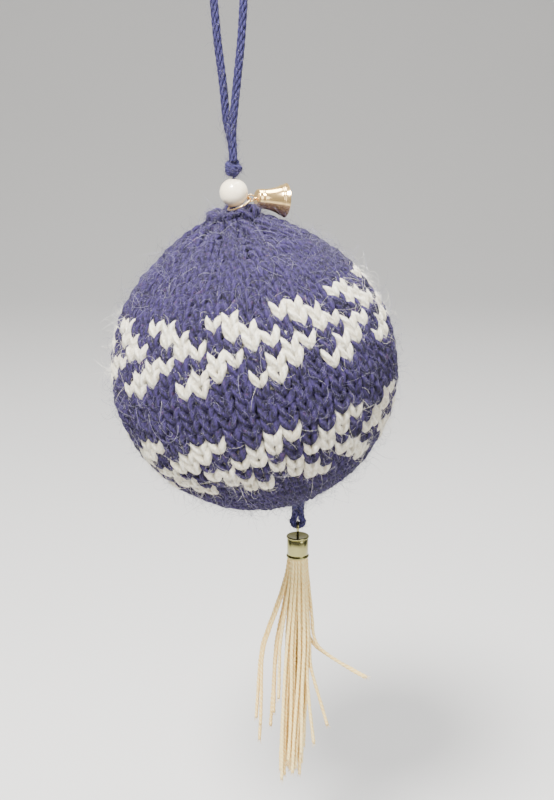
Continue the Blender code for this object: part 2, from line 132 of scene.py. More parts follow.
# mesh making
def addMesh(name, points, faceSets, body, material, attributes=None):
    # faceSets is a list of (corner indices, corner UVs or None), each of one face size
    points = points.reshape(-1, 3)
    mesh = bpy.data.meshes.new(name)
    mesh.vertices.add(len(points))
    mesh.vertices.foreach_set("co", points.astype(np.float32).ravel())
    corners = np.concatenate([faces.ravel() for faces, _ in faceSets])
    sizes = np.concatenate([np.full(len(faces), faces.shape[1]) for faces, _ in faceSets])
    mesh.loops.add(len(corners))
    mesh.loops.foreach_set("vertex_index", corners.astype(np.int32))
    mesh.polygons.add(len(sizes))
    mesh.polygons.foreach_set("loop_start", (np.cumsum(sizes) - sizes).astype(np.int32))
    mesh.update(calc_edges=True)
    uvs = [np.zeros((faces.size, 2)) if uv is None else uv.reshape(-1, 2) for faces, uv in faceSets]
    layer = mesh.uv_layers.new(name="along")
    layer.data.foreach_set("uv", np.concatenate(uvs).astype(np.float32).ravel())
    for key, values in (attributes or {}).items():
        made = mesh.attributes.new(key, "FLOAT", "POINT")
        made.data.foreach_set("value", values.astype(np.float32).ravel())
    mesh.polygons.foreach_set("use_smooth", np.full(len(sizes), True))
    mesh.update()
    piece = addObject(name, mesh)
    mesh.materials.append(material)
    if body:
        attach(piece, body)
    return piece


def squareTo(paths, guides):
    # two directions square to each path, the first as near to the guide as it can be
    along = unit(np.gradient(paths, axis=-2))
    side = unit(guides - (guides * along).sum(-1, keepdims=True) * along)
    return side, np.cross(along, side)


def tubePoints(paths, radii, sides, guides):
    # a ring at each path point, square to the path: point + radius * (cos a * side + sin a * other)
    side, other = squareTo(paths, guides)
    turn = np.arange(sides) * tau / sides
    ring = np.cos(turn)[:, None] * side[..., None, :] + np.sin(turn)[:, None] * other[..., None, :]
    radii = np.broadcast_to(radii, paths.shape[:-1])
    return paths[..., None, :] + radii[..., None, None] * ring


def tubeFaces(count, rings, sides, spans, joined=False):
    # quads between the rings of each tube, and a flat cap at each end unless it is joined
    base = (np.arange(count) * rings * sides)[:, None, None]
    last = rings if joined else rings - 1
    r, s = np.meshgrid(np.arange(last), np.arange(sides), indexing="ij")
    nextRing, nextSide = (r + 1) % rings, (s + 1) % sides
    quad = np.stack([r * sides + s, r * sides + nextSide,
                     nextRing * sides + nextSide, nextRing * sides + s], -1)
    quads = (base[..., None] + quad).reshape(-1, 4)
    spans = np.broadcast_to(spans, (count, rings))
    step = np.concatenate([spans, spans[:, -1:] + (spans[:, 1:2] - spans[:, :1])], 1)
    low, high = step[:, r], step[:, r + 1]
    around = np.broadcast_to(s / sides, low.shape)
    onward = np.broadcast_to((s + 1) / sides, low.shape)
    uv = np.stack([np.stack([low, around], -1), np.stack([low, onward], -1),
                   np.stack([high, onward], -1), np.stack([high, around], -1)], -2).reshape(-1, 4, 2)
    sets = [(quads, uv)]
    if not joined:
        cap = np.arange(sides)
        start = base[:, 0] + cap[::-1]
        end = base[:, 0] + (rings - 1) * sides + cap
        for faces, at in ((start, spans[:, 0]), (end, spans[:, -1])):
            flat = np.stack([np.repeat(at, sides), np.tile(cap / sides, count)], -1)
            sets.append((faces, flat))
    return sets


def pathLengths(paths):
    steps = np.linalg.norm(np.diff(paths, axis=-2), axis=-1)
    return np.concatenate([np.zeros((*steps.shape[:-1], 1)), np.cumsum(steps, axis=-1)], -1)


def addTubes(name, paths, radii, sides, guides, body, material, attributes=None):
    # tubes along paths of shape (tubes, points, 3); the UV is millimetres along and turns around
    paths = paths if paths.ndim == 3 else paths[None]
    guides = np.broadcast_to(guides, paths.shape)
    count, rings = paths.shape[:2]
    points = tubePoints(paths, radii, sides, guides)
    values = {}
    for key, value in (attributes or {}).items():
        values[key] = np.repeat(np.broadcast_to(value, (count, rings)).ravel(), sides)
    sets = tubeFaces(count, rings, sides, pathLengths(paths) * 1000)
    return addMesh(name, points, sets, body, material, values)


def addTurned(name, profile, origin, axis, count, body, material):
    # a closed profile of (radius, height) carried round an axis
    profile = np.array(profile, float)
    guide = yWay if abs(axis[1]) < 0.9 else xWay
    side = unit(np.cross(guide, axis))
    other = np.cross(axis, side)
    turn = np.arange(count) * tau / count
    ring = np.cos(turn)[:, None] * side + np.sin(turn)[:, None] * other
    points = origin + profile[:, None, :1] * ring + profile[:, None, 1:] * axis
    sets = tubeFaces(1, len(profile), count, pathLengths(profile) * 1000, joined=True)
    piece = addMesh(name, points, sets, body, material)
    cleanTurned(piece)
    return piece


def cleanTurned(piece):
    # merges poles and turns every face outwards
    build = bmesh.new()
    build.from_mesh(piece.data)
    bmesh.ops.remove_doubles(build, verts=build.verts, dist=1e-6)
    bmesh.ops.recalc_face_normals(build, faces=build.faces)
    build.to_mesh(piece.data)
    build.free()
    piece.data.shade_smooth()
    piece.data.set_sharp_from_angle(angle=40 * deg)


def arcPoints(middle, along, across, radius, start, end, steps):
    # points on an arc, from start to end in degrees
    turn = np.linspace(start, end, steps)[:, None] * deg
    return middle + radius * (np.cos(turn) * along + np.sin(turn) * across)


def smoothRoute(route, count):
    # a Catmull-Rom curve through a route, at equal steps of its spans
    route = np.array(route, float)
    route = np.concatenate([2 * route[:1] - route[1:2], route, 2 * route[-1:] - route[-2:-1]])
    spans = len(route) - 3
    where = np.linspace(0, spans, count)
    span = np.minimum(where.astype(int), spans - 1)
    t = (where - span)[:, None]
    a, b, c, d = (route[span + step] for step in range(4))
    square, cube = 2 * a - 5 * b + 4 * c - d, 3 * b - a - 3 * c + d
    return 0.5 * (2 * b + (c - a) * t + square * t**2 + cube * t**3)


def helixAbout(path, radius, pitch, phase, guide):
    # a strand wound round a path: path + radius * (cos w * side + sin w * other), w = length / pitch turns
    side, other = squareTo(path, guide)
    turn = (pathLengths(path) / pitch * tau + phase)[:, None]
    return path + radius * (np.cos(turn) * side + np.sin(turn) * other)


# shader making
class Value:
    # wraps a node's output, so that shader maths reads as plain expressions
    def __init__(self, recipe, socket):
        self.recipe, self.socket = recipe, socket

    def maths(self, operation, first, second):
        return self.recipe.node("ShaderNodeMath", dict(operation=operation), {0: first, 1: second})

    def __add__(self, other): return self.maths("ADD", self, other)
    def __sub__(self, other): return self.maths("SUBTRACT", self, other)
    def __mul__(self, other): return self.maths("MULTIPLY", self, other)
    def __truediv__(self, other): return self.maths("DIVIDE", self, other)


class Recipe:
    # one material: its Principled shader, and the one method that adds every other node
    def __init__(self, name, **constants):
        self.material = bpy.data.materials.new(name)
        self.material.use_nodes = True
        self.tree = self.material.node_tree
        self.shader = self.tree.nodes["Principled BSDF"]
        for key, value in constants.items():
            self.shader.inputs[key.replace("_", " ")].default_value = value

    def node(self, kind, settings=None, sockets=None, output=0):
        made = self.tree.nodes.new(kind)
        for key, value in (settings or {}).items():
            if key == "stops":
                ramp = made.color_ramp.elements
                while len(ramp) < len(value):
                    ramp.new(0.5)
                for stop, (position, colour) in zip(ramp, value):
                    stop.position, stop.color = position, (*colour, 1)
            else:
                setattr(made, key, value)
        for key, value in (sockets or {}).items():
            if isinstance(value, Value):
                self.tree.links.new(value.socket, made.inputs[key])
            else:
                made.inputs[key].default_value = value
        return Value(self, made.outputs[output])

    def feed(self, name, value):
        self.tree.links.new(value.socket, self.shader.inputs[name])

    def mix(self, factor, first, second):
        return self.node("ShaderNodeMix", dict(data_type="RGBA"), {0: factor, 6: first, 7: second}, output=2)

    def objectCoords(self):
        return self.node("ShaderNodeTexCoord", output=3)

    def noise(self, vector, scale, detail=3.0, roughness=0.5):
        sockets = dict(Vector=vector, Scale=scale, Detail=detail, Roughness=roughness)
        return self.node("ShaderNodeTexNoise", {}, sockets)

    def bump(self, height, strength, distance):
        sockets = dict(Height=height, Strength=strength, Distance=distance)
        self.feed("Normal", self.node("ShaderNodeBump", {}, sockets))


# yarns: darkest and lightest colour (between them also the painted shade of the ply grooves), flecks, plies,
# their pitch in yarn widths, depth of the bumps
navyWool = dict(deep=(0.0022, 0.0012, 0.0090), light=(0.0370, 0.0220, 0.115), fleck=(0.078, 0.028, 0.090),
                plies=3, plyPitch=4.2, bumpDepth=0.0008)
creamWool = dict(deep=(0.68, 0.61, 0.44), light=(1.0, 0.97, 0.85), fleck=(0.90, 0.85, 0.70),
                 plies=3, plyPitch=4.2, bumpDepth=0.0008)
navyCord = dict(deep=(0.0045, 0.0036, 0.023), light=(0.042, 0.035, 0.150), fleck=(0.040, 0.030, 0.120),
                plies=2, plyPitch=2.0, bumpDepth=0.0002)
creamSilk = dict(deep=(0.86, 0.56, 0.16), light=(1.0, 0.83, 0.40), fleck=(0.95, 0.72, 0.30),
                 plies=2, plyPitch=1.5, bumpDepth=0.00015, roughness=0.5, sheen=0.25, toneShare=0.5)


def yarnMaterial(name, deep, light, fleck, plies, plyPitch, bumpDepth, roughness=0.95, sheen=0.12,
                 toneShare=0.30):
    # plies wind round the yarn, fine fibres run along it, and each stitch has a tone of its own; the ply
    # winding also paints the colour lighter on the ply crowns and darker in the grooves between plies, as
    # painted shade
    recipe = Recipe(name, Roughness=roughness, Sheen_Weight=sheen, Sheen_Roughness=0.6,
                    Sheen_Tint=(*light, 1))
    along = recipe.node("ShaderNodeUVMap", dict(uv_map="along"))
    u, v = (recipe.node("ShaderNodeSeparateXYZ", {}, {0: along}, output=k) for k in (0, 1))
    turns = (v * plies + u / plyPitch) * tau
    wind = recipe.node("ShaderNodeMath", dict(operation="SINE"), {0: turns}) * 0.5 + 0.5
    spot = recipe.node("ShaderNodeCombineXYZ", {}, {0: u * 0.42 + v * 1.2, 1: v * 5.2 - u * 0.5})
    fibres = recipe.noise(spot, 2.2, 4.0, 0.65)
    place = recipe.objectCoords()
    broad = recipe.noise(place, 240.0, 2.0)
    tone = recipe.node("ShaderNodeAttribute", dict(attribute_name="tone"), output=2)
    # the ply-winding term lightens the colour on the ply crowns and darkens it in the grooves between plies:
    # painted shade
    level = fibres * 3.4 + wind * 0.55 + broad * 0.35 + tone * toneShare - 1.88
    shade = recipe.mix(level, (*deep, 1), (*light, 1))
    stops = [(0.68, (0, 0, 0)), (0.74, (1, 1, 1))]
    flecks = recipe.node("ShaderNodeValToRGB", dict(stops=stops), {0: recipe.noise(place, 520.0, 1.0)})
    shade = recipe.mix(recipe.node("ShaderNodeRGBToBW", {}, {0: flecks}) * 0.45, shade, (*fleck, 1))
    recipe.feed("Base Color", shade)
    recipe.bump(wind * 0.6 + fibres * 1.2, 1.0, bumpDepth)
    return recipe.material


navyYarn = yarnMaterial("navy wool yarn", **navyWool)
creamYarn = yarnMaterial("cream wool yarn", **creamWool)
cordYarn = yarnMaterial("navy twisted cord", **navyCord)
silkThread = yarnMaterial("cream silky thread", **creamSilk)


def fibreMaterial(name, deep, light):
    recipe = Recipe(name, Roughness=0.8, Sheen_Weight=0.3)
    tone = recipe.node("ShaderNodeAttribute", dict(attribute_name="tone"), output=2)
    recipe.feed("Base Color", recipe.mix(tone, (*deep, 1), (*light, 1)))
    return recipe.material


navyFibre = fibreMaterial("navy wool fibres", (0.008, 0.005, 0.034), (0.120, 0.098, 0.250))
paleFibre = fibreMaterial("pale wool fibres", (0.12, 0.11, 0.22), (0.44, 0.42, 0.52))
creamFibre = fibreMaterial("cream wool fibres", (0.72, 0.68, 0.56), (0.95, 0.93, 0.86))
silkFibre = fibreMaterial("silk fibres", (0.80, 0.56, 0.26), (0.98, 0.82, 0.52))


def metalMaterial(name, colour, tarnish, roughness, scratch, metallic=1.0):
    # polished plate with faint tarnish in patches and fine hairline wear
    recipe = Recipe(name, Metallic=metallic)
    place = recipe.objectCoords()
    patches = recipe.noise(place, 420.0, 3.0, 0.6)
    drawnOut = recipe.node("ShaderNodeMapping", {}, {0: place, "Scale": (1.0, 1.0, 14.0)})
    hairs = recipe.noise(drawnOut, 900.0, 2.0)
    recipe.feed("Base Color", recipe.mix(patches * 0.55, (*colour, 1), (*tarnish, 1)))
    recipe.feed("Roughness", patches * 0.10 + hairs * 0.06 + (roughness - 0.08))
    recipe.bump(hairs, scratch, 0.00002)
    return recipe.material


gold = dict(colour=(1.00, 0.71, 0.33), tarnish=(0.94, 0.60, 0.22), roughness=0.16, scratch=0.15,
            metallic=0.90)
# nickel's colour and tarnish are darkened and tinted olive as a painted reflection of dark green
# surroundings; the patches stand for real tarnish
nickel = dict(colour=(0.37, 0.35, 0.15), tarnish=(0.20, 0.18, 0.07), roughness=0.18, scratch=0.25)
blackened = dict(colour=(0.06, 0.05, 0.05), tarnish=(0.02, 0.02, 0.02), roughness=0.45, scratch=0.4)
goldPlate = metalMaterial("polished gold plate", **gold)
nickelWithPaintedReflection = metalMaterial("bright nickel plate", **nickel)
darkMetal = metalMaterial("blackened clapper metal", **blackened)


def pearlMaterial():
    # milky lacquer with faint warm and cool clouds under a clear coat
    recipe = Recipe("pearl lacquer", Roughness=0.30, Coat_Roughness=0.08, Sheen_Weight=0.2)
    place = recipe.objectCoords()
    clouds = recipe.noise(place, 260.0, 2.0)
    recipe.feed("Base Color", recipe.mix(clouds, (0.92, 0.78, 0.56, 1), (0.97, 0.87, 0.67, 1)))
    recipe.feed("Coat Weight", clouds * 0.3 + 0.7)
    recipe.bump(recipe.noise(place, 1800.0, 2.0), 0.05, 0.00002)
    return recipe.material


pearlLacquer = pearlMaterial()
print("materials ready")


# hanging loop: a cord of five plies, up behind on the left and down in front on the right
loopCord = dict(radius=0.0012, footZ=-0.0614, lineX=0.0006, spacing=0.0027, length=0.134, plies=5,
                plyRadius=0.00046, pitch=0.013, bendLength=0.008)


def bendAtKnot(piece):
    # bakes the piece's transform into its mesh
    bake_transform(piece)


def makeHangingLoop():
    half = loopCord["spacing"] / 2
    foot = loopCord["footZ"]
    route = [
        (loopCord["lineX"], half, foot), (0.0001, half, -0.0570), (-0.0006, half, -0.0535),
        (-0.0013, 0.0013, -0.0500), (-0.0022, 0.0011, -0.0400), (-0.0036, 0.0007, -0.0280),
        (-0.0047, 0.0003, -0.0130), (-0.0048, 0.0001, -0.0070), (-0.0040, 0.0, -0.0022),
        (-0.0022, 0.0, 0.0004), (0.0, 0.0, 0.0012), (0.0022, 0.0, 0.0004),      # over the hang point
        (0.0039, 0.0, -0.0022), (0.0045, -0.0001, -0.0070), (0.0041, -0.0003, -0.0130),
        (0.0031, -0.0007, -0.0280), (0.0018, -0.0011, -0.0400), (0.0007, -0.0013, -0.0500),
        (0.0004, -half, -0.0540), (0.0005, -half, -0.0575), (loopCord["lineX"], -half, foot),
    ]
    path = smoothRoute(route, 320)
    phases = np.arange(loopCord["plies"]) * tau / loopCord["plies"]
    middle = loopCord["radius"] - loopCord["plyRadius"]
    paths = np.stack([helixAbout(path, middle, loopCord["pitch"], phase, yWay) for phase in phases])
    tone = draw.uniform(0.3, 0.9, (len(phases), 1))
    piece = addTubes("hangingLoop", paths, loopCord["plyRadius"], 8, xWay + 0.3 * yWay, None,
                     cordYarn, dict(tone=tone))
    bendAtKnot(piece)
    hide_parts("hanging_loop")
    return path


loopPath = makeHangingLoop()


# tassel strands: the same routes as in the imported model, in lengths along each strand
skirt = dict(pitch=0.00082, rings=3, length=0.0755, spread=0.0105, radius=0.00050, fanLength=0.030,
             fan=1.30, sideFan=0.8, wander=0.00032, lean=0.0022)
bowed = dict(outer=0.0578, inner=0.0540, outerBow=0.0056, innerBow=0.0020, reach=0.040)
strays = dict(length=0.0500, start=0.0285, slope=0.95, lift=0.47, turn=0.005)
bends = dict(length=0.0580, start=0.034, slope=0.13, extraSlope=0.18, turn=0.006)
tasselX = float(pivots["tassel_swing"][0])
capLow, capHigh = nodeBox("tassel_cap")
strandTop = float(nodeBox("tassel_binding")[0][2]) - 0.0003


def strandWay(column, row, placeInOrder, length, steps):
    # strands fan out, wander and lean left; the left ones bow out, two on the right stray and two bend away
    outX = skirt["pitch"] * (column + row / 2)
    outY = skirt["pitch"] * row * np.sqrt(3) / 2
    outer = outX < -2.4 * skirt["pitch"]
    inner = outX < -1.9 * skirt["pitch"] and not outer
    stray = outX > 2.4 * skirt["pitch"] and row >= 0
    bend = outX > 1.9 * skirt["pitch"] and row < 0
    if outer:
        length = bowed["outer"] + 0.0066 * (row == 1) - 0.0020 * (row == 0)
    if inner:
        length = bowed["inner"] + 0.0030 * row
    if stray:
        length = strays["length"] + 0.0016 * row
    if bend:
        length = bends["length"] + 0.0055 * (row == -2)
    far = np.linspace(0, length, steps)
    fan = np.minimum(far / skirt["fanLength"], 1)
    wander = skirt["wander"] * fan * np.sin(far / 0.0105 + 2.4 * placeInOrder)
    lean = skirt["lean"] * (far / skirt["length"]) ** 1.5
    x = tasselX + outX * (1 + skirt["fan"] * fan**1.2) - lean + wander
    y = outY * (1 + skirt["sideFan"] * fan) + 0.8 * wander
    z = strandTop - far
    if outer or inner:
        bow = bowed["outerBow"] if outer else bowed["innerBow"] + 0.0004 * row
        x = x - bow * smoothStep(0.002, bowed["reach"], far)
    if stray:
        free = np.maximum(far - strays["start"], 0)
        run = free**2 / (free + strays["turn"])
        x, z = x + strays["slope"] * run, z + strays["lift"] * run
    if bend:
        free = np.maximum(far - bends["start"], 0)
        slope = bends["slope"] + bends["extraSlope"] * (row == -1)
        x = x + slope * free**2 / (free + bends["turn"])
    return np.stack([x, y, z], -1)


def makeStrand(name, route):
    # a two-ply thread: an oval section that turns as it goes, of slightly uneven thickness
    rings, sides, twistLength = 84, 8, 3.0
    path = smoothRoute(route, rings)
    lengths = pathLengths(path) * 1000
    turn = np.arange(sides) * tau / sides
    twist = lengths / twistLength * tau
    lobes = 1 + 0.17 * np.cos(2 * (turn - twist[:, None]))
    uneven = 1 + 0.06 * np.sin(lengths * 0.9 + draw.uniform(0, 6))
    points = tubePoints(path, skirt["radius"] * uneven, sides, np.broadcast_to(xWay, path.shape))
    points = path[:, None] + (points - path[:, None]) * lobes[..., None]
    tone = np.full(rings * sides, draw.uniform(0, 1))
    piece = addMesh(name, points, tubeFaces(1, rings, sides, lengths), "tassel", silkThread,
                    dict(tone=tone))
    return piece, path


def makeSkirt():
    span = range(-skirt["rings"], skirt["rings"] + 1)
    spots = [(column, row) for row in span for column in span if abs(column + row) <= skirt["rings"]]
    tips = []
    for index, (column, row) in enumerate(spots):
        length = skirt["length"] - skirt["spread"] * ((index * 0.618) % 1.0)
        route = strandWay(column, row, index, length, 12)
        piece, path = makeStrand(f"tasselStrand{index + 1:02d}", route)
        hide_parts(f"tassel_strand_{index + 1:02d}")
        tips.append(path[-4:])
    return np.array(tips)


strandTips = makeSkirt()
print("cords ready")


# the bag: cloth, gathered at the neck and blown up against its filling
bag = dict(columns=96, rows=56, top=5.0 * deg, foot=173.5 * deg, folds=11, foldDepth=0.0011, extra=0.42,
           steps=14, limit=0.0024)
clothSettings = dict(quality=6, mass=0.15, tension_stiffness=12, compression_stiffness=12, shear_stiffness=6,
                     bending_stiffness=0.35, use_pressure=True, uniform_pressure_force=3.0)


def bagPlace(phi, polar):
    # a direction in a leaning frame, times the bag's radius at its angle from the neck; phi 0 is in front
    lean = (ball["neckTilt"] + (ball["rowTilt"] - ball["neckTilt"]) * smoothStep(35 * deg, 60 * deg, polar)
            + (ball["footTilt"] - ball["rowTilt"]) * smoothStep(130 * deg, 165 * deg, polar))
    zero = np.zeros_like(lean)
    upright = np.stack([-np.sin(lean), zero, np.cos(lean)], -1)
    right = np.stack([np.cos(lean), zero, np.sin(lean)], -1)
    out = np.sin(phi)[..., None] * right - np.cos(phi)[..., None] * yWay
    way = np.cos(polar)[..., None] * upright + np.sin(polar)[..., None] * out
    trueAngle = np.arccos(np.clip(way @ neckWay, -1, 1))
    return ballMiddle + way * bagRadius(trueAngle)[..., None]


def foldedBag():
    # the plain bag, and folds of depth * exp(-((polar - 19) / 13)^2) * a wave that wanders round the neck
    polars = np.linspace(bag["top"], bag["foot"], bag["rows"])
    phis = np.arange(bag["columns"]) * tau / bag["columns"]
    phi, polar = np.meshgrid(phis, polars)
    smooth = bagPlace(phi, polar)
    share = np.exp(-((polar - 19 * deg) / (13 * deg)) ** 2)
    wave = np.cos(bag["folds"] * phi + 1.3 * np.sin(2 * phi + 0.6) + 0.8 * np.sin(3 * phi))
    return polar, smooth, unit(smooth - ballMiddle) * (share * wave * bag["foldDepth"])[..., None]


def gatherCloth():
    # the cut is wider than the ball near the neck, so the cloth buckles there into folds
    polar, smooth, folds = foldedBag()
    start = smooth + folds
    axisPoint = ballMiddle + ((smooth - ballMiddle) @ neckWay)[..., None] * neckWay
    widen = 1 + bag["extra"] * np.exp(-((polar - 10 * deg) / (16 * deg)) ** 2)
    cut = axisPoint + (smooth - axisPoint) * widen[..., None]
    quads = tubeFaces(1, bag["rows"], bag["columns"], np.zeros(bag["rows"]))[0][0]
    mesh = bpy.data.meshes.new("bagCloth")
    mesh.from_pydata(start.reshape(-1, 3).tolist(), [], quads.tolist())
    cloth = addObject("bagCloth", mesh)
    cloth.shape_key_add(name="hung")
    flat = cloth.shape_key_add(name="cut")
    flat.data.foreach_set("co", cut.astype(np.float32).ravel())
    pins = cloth.vertex_groups.new(name="pins")
    count, total = bag["columns"], len(mesh.vertices)
    pins.add([*range(count), *range(total - count, total)], 1.0, "REPLACE")
    modifier = cloth.modifiers.new("cloth", "CLOTH")
    for key, value in clothSettings.items():
        setattr(modifier.settings, key, value)
    modifier.settings.vertex_group_mass = "pins"
    modifier.settings.rest_shape_key = flat
    modifier.settings.effector_weights.gravity = 0
    modifier.collision_settings.use_collision = False
    modifier.point_cache.frame_end = bag["steps"] + 1
    scene = bpy.context.scene
    for step in range(1, bag["steps"] + 1):
        scene.frame_set(step)
    made = cloth.evaluated_get(bpy.context.evaluated_depsgraph_get())
    found = np.empty(total * 3, np.float32)
    made.data.vertices.foreach_get("co", found)
    scene.frame_set(1)
    bpy.data.objects.remove(cloth)
    moved = found.reshape(smooth.shape).astype(float) - smooth
    size = np.linalg.norm(moved, axis=-1, keepdims=True)
    moved *= np.minimum(1, bag["limit"] / np.maximum(size, 1e-9))
    moved *= (1 - 0.93 * smoothStep(38 * deg, 62 * deg, polar))[..., None]      # taut lower down
    return moved


bagMoved = gatherCloth()
print("bag gathered, largest fold", round(float(np.linalg.norm(bagMoved, axis=-1).max()) * 1000, 2), "mm")


def clothAt(phi, polar):
    # the bag's surface with its folds, read between the cloth's grid points
    across = (phi / tau % 1) * bag["columns"]
    down = np.clip((polar - bag["top"]) / (bag["foot"] - bag["top"]), 0, 1) * (bag["rows"] - 1)
    left = np.floor(across).astype(int)
    top = np.minimum(np.floor(down).astype(int), bag["rows"] - 2)
    s, t = (across - left)[..., None], (down - top)[..., None]
    s = s * s * (3 - 2 * s)
    left, right = left % bag["columns"], (left + 1) % bag["columns"]
    upper = bagMoved[top, left] * (1 - s) + bagMoved[top, right] * s
    lower = bagMoved[top + 1, left] * (1 - s) + bagMoved[top + 1, right] * s
    return bagPlace(phi, polar) + upper * (1 - t) + lower * t


def clothOut(phi, polar):
    # the outward normal, from the slopes along and across
    step = 0.012
    along = clothAt(phi, polar + step) - clothAt(phi, polar - step)
    across = clothAt(phi + step, polar) - clothAt(phi - step, polar)
    normal = unit(np.cross(along, across))
    facing = (normal * (clothAt(phi, polar) - ballMiddle)).sum(-1, keepdims=True)
    return normal * np.where(facing < 0, -1, 1)


# knitting: every stitch is one loop of yarn, navy or cream by the chart
knitting = dict(pitch=4.72 * deg, firstPolar=5.58 * deg, rows=37, columns=48, bandRow=11, bandGap=4,
                yarn=0.00108, lean=0.215, reach=0.95, depth=0.00080, rings=17, sides=8, phase=4.95 * deg,
                sink=0.0019)
upperChart = ["##..", ".##.", "..##", "##..", "#..#", "..##"]
lowerChart = ["..##", ".##.", "##..", "..##", "#..#", "##.."]


def isCream(row, column):
    # the two bands of the chart, a few plain rows apart, repeat every four stitches
    first = knitting["bandRow"]
    for chart in (upperChart, lowerChart):
        if first <= row < first + len(chart):
            return chart[row - first][column % 4] == "#"
        first += len(chart) + knitting["bandGap"]
    return False


def stitchCount(polar):
    # fewer stitches towards the two gathers
    girth = min(polar, np.pi - polar)
    return 16 if girth < 9 * deg else 24 if girth < 19 * deg else 36 if girth < 33 * deg else 48


def listStitches():
    found = []
    for row in range(knitting["rows"]):
        polar = knitting["firstPolar"] + row * knitting["pitch"]
        count = stitchCount(polar)
        width = tau / count
        for column in range(count):
            phi = (column - 2) * width + knitting["phase"]
            found.append((row, phi, polar, width, isCream(row, column)))
    return np.array(found)


stitches = listStitches()


def stitchPaths(chosen):
    # across = t + lean * sin 2t, up = -reach * cos t, out = -depth * cos 2t, t once round in each stitch
    t = np.linspace(0, tau, knitting["rings"])
    jitter = np.clip(draw.normal(0, 1, (len(chosen), 4)), -2, 2)
    width = chosen[:, 3:4]
    lean = knitting["lean"] * (1 + 0.10 * jitter[:, :1])
    across = t / tau - 0.5 + lean * np.sin(2 * t) + 0.045 * jitter[:, 1:2] * np.sin(t / 2)
    rise = (-knitting["reach"] * (1 + 0.07 * jitter[:, 2:3]) * np.cos(t)
            + 0.08 * jitter[:, 3:] * np.sin(t / 2))
    out = -knitting["depth"] * np.cos(2 * t) - knitting["sink"] + 0.0002 * jitter[:, :1] * np.sin(t / 2)
    phi = chosen[:, 1:2] + across * width
    polar = np.clip(chosen[:, 2:3] - rise * knitting["pitch"], 0.5 * deg, 176 * deg)
    normal = clothOut(phi, polar)
    place = clothAt(phi, polar) + out[..., None] * normal
    squeeze = np.minimum(1, 0.62 + 0.38 * width * 48 / tau * np.sin(chosen[:, 2:3]) ** 0.5)
    lumps = 1 + 0.05 * np.sin(3 * t + 3 * jitter[:, :1]) + 0.06 * jitter[:, 1:2]
    radii = knitting["yarn"] * (0.90 + 0.12 * np.sin(t) ** 2) * squeeze * lumps
    return place, normal, radii


def makeKnit(name, chosen, material):
    place, normal, radii = stitchPaths(chosen)
    tone = np.clip(draw.normal(0.5, 0.22, (len(chosen), 1)), 0, 1)
    piece = addTubes(name, place, radii, knitting["sides"], normal, "ball", material,
                     dict(tone=tone))
    return piece, place, normal, radii


navyStitches, creamStitches = stitches[stitches[:, 4] == 0], stitches[stitches[:, 4] == 1]
navyMade = []
for bandName, firstRow, lastRow in (("navyKnitTop", 0, 13), ("navyKnitMiddle", 13, 22),
                                    ("navyKnitFoot", 22, 37)):
    inBand = (navyStitches[:, 0] >= firstRow) & (navyStitches[:, 0] < lastRow)
    navyMade.append(makeKnit(bandName, navyStitches[inBand], navyYarn))
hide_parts("knit_cover")
creamMade = [makeKnit("creamKnit", creamStitches, creamYarn)]
print("knitted", len(navyStitches), "navy and", len(creamStitches), "cream stitches")


lining = dict(depth=0.0026, columns=120, rows=70, fill=0.85)


def shadeLiningMaterial():
    recipe = Recipe("painted shade inside the knitting", Roughness=1.0)
    place = recipe.objectCoords()
    # the near-black colour is painted shade, seen in the gaps between the stitches
    shade = recipe.mix(recipe.noise(place, 900.0, 3.0), (0.004, 0.0035, 0.012, 1), (0.016, 0.014, 0.045, 1))
    recipe.feed("Base Color", shade)
    recipe.bump(recipe.noise(place, 1500.0, 2.0), 0.5, 0.0002)
    return recipe.material


def makeLining():
    # the cloth again, a little under the yarn, closed at the neck and at the foot; its near-black colour is
    # painted shade, seen in the gaps between the stitches
    polars = np.concatenate([[2.0 * deg], np.linspace(6 * deg, 172 * deg, lining["rows"]), [176 * deg]])
    phi, polar = np.meshgrid(np.arange(lining["columns"]) * 360 / lining["columns"] * deg, polars)
    points = clothAt(phi, polar) - lining["depth"] * clothOut(phi, polar)
    sets = tubeFaces(1, len(polars), lining["columns"], polars * ball["radius"] * 1000)
    piece = addMesh("stuffedLining", points, sets, "ball", shadeLiningMaterial())
    cleanTurned(piece)
    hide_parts("stuffing")


makeLining()


# knot, thread, gathers and stem
knot = dict(turns=2.2, wrapRadius=0.0017, plyRadius=0.00048, plyOffset=0.00038, plyPitch=0.004)
gathers = dict(topRadius=0.0021, footRadius=0.0034, yarn=0.0007, sunk=0.0007, stitchHalf=0.0034,
               stitchRadius=0.0006)
stem = dict(radius=0.00105, bend=0.0016, pinch=0.00075, turns=6)


def makeKnot():
    # the doubled cord wound twice round itself: a helix that swells in the middle
    low, high = nodeBox("loop_knot")
    top = loopCord["footZ"] + 0.0004      # it takes in the ends of the loop
    middle, height = np.array([(low[0] + high[0]) / 2, 0, (low[2] + top) / 2]), top - low[2]
    t = np.linspace(0, 1, 90)
    swell = np.sin(np.pi * np.clip(t, 0.04, 0.96)) ** 0.5
    turn = tau * knot["turns"] * t
    wraps = []
    for phase, tall in ((0.0, 1.0), (2.6, 0.8), (4.4, 0.9)):
        lift = (t - 0.5) * (height - 0.0016) * tall + 0.0005 * np.sin(turn * 1.5 + phase)
        ring = knot["wrapRadius"] * swell
        spun = turn + phase
        wraps.append(middle + np.stack([ring * np.cos(spun), ring * np.sin(spun), lift], -1))
    plies = np.stack([helixAbout(path, knot["plyOffset"], knot["plyPitch"], phase, zWay)
                      for path in wraps for phase in (0, 2.1, 4.2)])
    piece = addTubes("loopKnot", plies, knot["plyRadius"], 7, zWay, "hanger", cordYarn,
                     dict(tone=draw.uniform(0.3, 0.9, (len(plies), 1))))
    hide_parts("loop_knot")
    return plies


